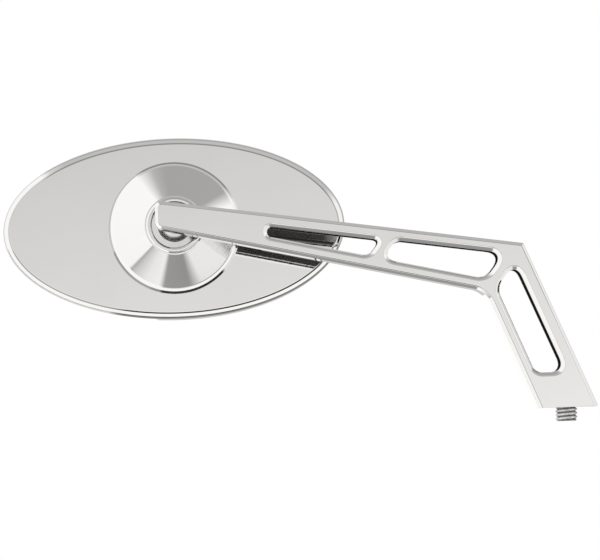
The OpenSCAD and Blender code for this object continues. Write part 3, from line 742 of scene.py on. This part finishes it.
# Socket boss
# The cone is turned from bar, with a narrow shoulder and a steep bevel at its foot, and buffed
# on the lathe, which leaves faint rings. Four screws from inside the housing hold it.
bore = 9.65
spigot = 12.4
cone = [(11, 13.7), (11.3, 14), (22.5, 24), (23.95, 24.85), (24.8, 26.97), (24.85, 27)]
in_housing = [(spigot, 27), (spigot, 29.8), (bore, 29.8)]
boss = turned("socket_cone", [(bore, 13.7)] + cone + in_housing + [(bore, 13.7)], ball, "Y", 256)
use_modifier(boss, "BEVEL", width=0.15 * mm, segments=3, limit_method="ANGLE", angle_limit=math.radians(12))
screw_ring = 16.5 * mm
screw_hole = 2.05 * mm
for i in range(4):
    turn_by = math.radians(45 + 90 * i)
    at = ball + Vector((math.cos(turn_by), 0, math.sin(turn_by))) * screw_ring
    bpy.ops.mesh.primitive_cylinder_add(vertices=32, radius=screw_hole, depth=6 * mm,
                                        location=(at.x, 25 * mm, at.z), rotation=(math.pi / 2, 0, 0))
    cut_away(boss, bpy.context.object)
smooth(boss, 35)
turned_finish, nodes, links, surface = shader("turned_aluminium", (0.9, 0.895, 0.885), 1, 0.07)
place = nodes.new("ShaderNodeMapping")
place.inputs["Location"].default_value = (-ball.x, 0, -ball.z)
links.new(nodes.new("ShaderNodeTexCoord").outputs["Object"], place.inputs["Vector"])
flatten = nodes.new("ShaderNodeVectorMath")
flatten.operation = "MULTIPLY"
flatten.inputs[1].default_value = (1, 0, 1)
links.new(place.outputs[0], flatten.inputs[0])
radius = nodes.new("ShaderNodeVectorMath")
radius.operation = "LENGTH"
links.new(flatten.outputs[0], radius.inputs[0])
lathe = nodes.new("ShaderNodeTexNoise")
lathe.noise_dimensions = "1D"
lathe.inputs["Scale"].default_value = 9000
lathe.inputs["Detail"].default_value = 3
links.new(radius.outputs["Value"], lathe.inputs["W"])
groove = nodes.new("ShaderNodeBump")
groove.inputs["Strength"].default_value = 0.25
groove.inputs["Distance"].default_value = 0.00001
links.new(lathe.outputs["Fac"], groove.inputs["Height"])
links.new(groove.outputs[0], surface.inputs["Normal"])
boss.data.materials.append(turned_finish)
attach(boss, "head")
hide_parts("socket_boss")


# Housing
# The oval is milled from one billet: a flat back with a shallow bevel and a steep one, a side
# wall, and a lip round the pocket for the glass. It is polished like a mirror.
half_long = 64.2
half_high = 34.1
back_face = 27
rim_face = 42
lip_width = 2
socket_hole = 12.5


def oval_plate(name, drawn_in, start, end):
    """A plate in the housing's oval, its outline drawn in evenly, between two depths."""
    bpy.ops.mesh.primitive_circle_add(vertices=256, radius=mm, fill_type="NGON",
                                      location=ball + Vector((0, start, 0)) * mm,
                                      rotation=(math.pi / 2, 0, 0))
    piece = bpy.context.object
    piece.name = name
    piece.scale = (half_long, half_high, 1)
    bpy.ops.object.transform_apply(location=True, rotation=True, scale=True)
    grab(piece, "FACE", lambda face: True)
    if drawn_in:
        bpy.ops.mesh.inset(thickness=drawn_in * mm, use_even_offset=True)
        bpy.ops.mesh.select_all(action="INVERT")
        bpy.ops.mesh.delete(type="FACE")
        bpy.ops.mesh.select_all(action="SELECT")
    bpy.ops.mesh.extrude_region_move(TRANSFORM_OT_translate={"value": (0, (end - start) * mm, 0)})
    done()
    outward(piece)
    return piece


def at_depth(depth):
    return lambda face: abs(face.center.y - depth * mm) < touching


# The back's edge from the side wall inwards, as pairs of width and depth: a steep bevel, a
# shallow one, and a roll into the flat
back_edge = ((0.55, 1.5), (0.2, 0.27), (1, 0.62), (0.3, 0.13), (0.3, 0.08), (0.3, 0.03))
rim_start = back_face + sum(drop for _, drop in back_edge)
housing = oval_plate("oval_housing", 0, rim_face, rim_start)
grab(housing, "FACE", at_depth(rim_start))
for width, drop in back_edge:
    bpy.ops.mesh.inset(thickness=width * mm, use_even_offset=True)
    bpy.ops.transform.translate(value=(0, -drop * mm, 0))
done()
# The glass's pocket and a deeper one behind it, as pairs of width and depth
grab(housing, "FACE", at_depth(rim_face))
for width, drop in ((lip_width, 5.5), (2, 6.5)):
    bpy.ops.mesh.inset(thickness=width * mm, use_even_offset=True)
    bpy.ops.mesh.extrude_region_move(TRANSFORM_OT_translate={"value": (0, -drop * mm, 0)})
done()
outward(housing)
bpy.ops.mesh.primitive_cylinder_add(vertices=96, radius=socket_hole * mm, depth=5 * mm,
                                    location=ball + Vector((0, back_face + 1.5, 0)) * mm,
                                    rotation=(math.pi / 2, 0, 0))
cut_away(housing, bpy.context.object)
use_modifier(housing, "BEVEL", width=0.16 * mm, segments=3, limit_method="ANGLE",
             angle_limit=math.radians(14))
smooth(housing, 35)
housing.data.materials.append(polished)
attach(housing, "head")
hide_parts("housing")


# Clamp and backing
# Inside the housing a steel plate, lock washers and four screws clamp the boss. A satin sheet,
# held by two countersunk screws, carries a foam pad for the glass.
satin = buffed("satin_aluminium", (0.72, 0.72, 0.72), 0.3, 0.1, 0.5)
foam, nodes, links, surface = shader("black_foam", (0.03, 0.03, 0.03), 0, 0.9)
cells = nodes.new("ShaderNodeTexVoronoi")
cells.inputs["Scale"].default_value = 1500
links.new(nodes.new("ShaderNodeTexCoord").outputs["Object"], cells.inputs["Vector"])
pit = nodes.new("ShaderNodeBump")
pit.inputs["Strength"].default_value = 0.6
pit.inputs["Distance"].default_value = 0.0003
links.new(cells.outputs["Distance"], pit.inputs["Height"])
links.new(pit.outputs[0], surface.inputs["Normal"])
dress(["clamp_plate", "clamp_screws", "backing_screws"], stainless)
dress(["lock_washers"], spring_steel)
dress(["backing_plate"], satin)
dress(["glass_pad"], foam)


# Mirror glass
# Two millimetre glass, silvered on its back, with a ground edge. It faces the rider and sticks
# to the foam pad.
glass_drawn_in = 3.35
glass_back = 39
glass_front = 41
glass = oval_plate("mirror_pane", glass_drawn_in, glass_back, glass_front)
use_modifier(glass, "BEVEL", width=0.25 * mm, segments=2, limit_method="ANGLE", angle_limit=math.radians(40))
smooth(glass, 30)
silver, nodes, links, surface = shader("mirror_glass", (0.9, 0.92, 0.925), 1, 0.015)
surface.inputs["Coat Weight"].default_value = 1
surface.inputs["Coat Roughness"].default_value = 0.01
smudge = nodes.new("ShaderNodeTexNoise")
smudge.inputs["Scale"].default_value = 35
smudge.inputs["Detail"].default_value = 6
links.new(nodes.new("ShaderNodeTexCoord").outputs["Object"], smudge.inputs["Vector"])
film = nodes.new("ShaderNodeMapRange")
film.inputs["From Min"].default_value = 0.5
film.inputs["From Max"].default_value = 0.8
film.inputs["To Min"].default_value = 0.012
film.inputs["To Max"].default_value = 0.05
links.new(smudge.outputs["Fac"], film.inputs["Value"])
links.new(film.outputs[0], surface.inputs["Roughness"])
glass.data.materials.append(silver)
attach(glass, "head")
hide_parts("mirror_glass")


# Gasket
# A ring of moulded black rubber is pushed in between glass and lip. It laps over the glass and
# holds its edge.
gasket_width = 1.2
gasket_lap = 1
gasket_back = 38
gasket_front = 41.7
cut_margin = 0.5
gasket = oval_plate("rubber_gasket", lip_width, gasket_back, gasket_front)
cut_away(gasket, oval_plate("gasket_pocket", lip_width + gasket_width, gasket_back - cut_margin, glass_front))
cut_away(gasket, oval_plate("gasket_window", lip_width + gasket_width + gasket_lap, glass_front - cut_margin,
                            rim_face + cut_margin))
use_modifier(gasket, "BEVEL", width=0.3 * mm, segments=3, limit_method="ANGLE", angle_limit=math.radians(40))
smooth(gasket, 40)
gasket.data.materials.append(rubber)
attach(gasket, "head")
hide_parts("rim_gasket")
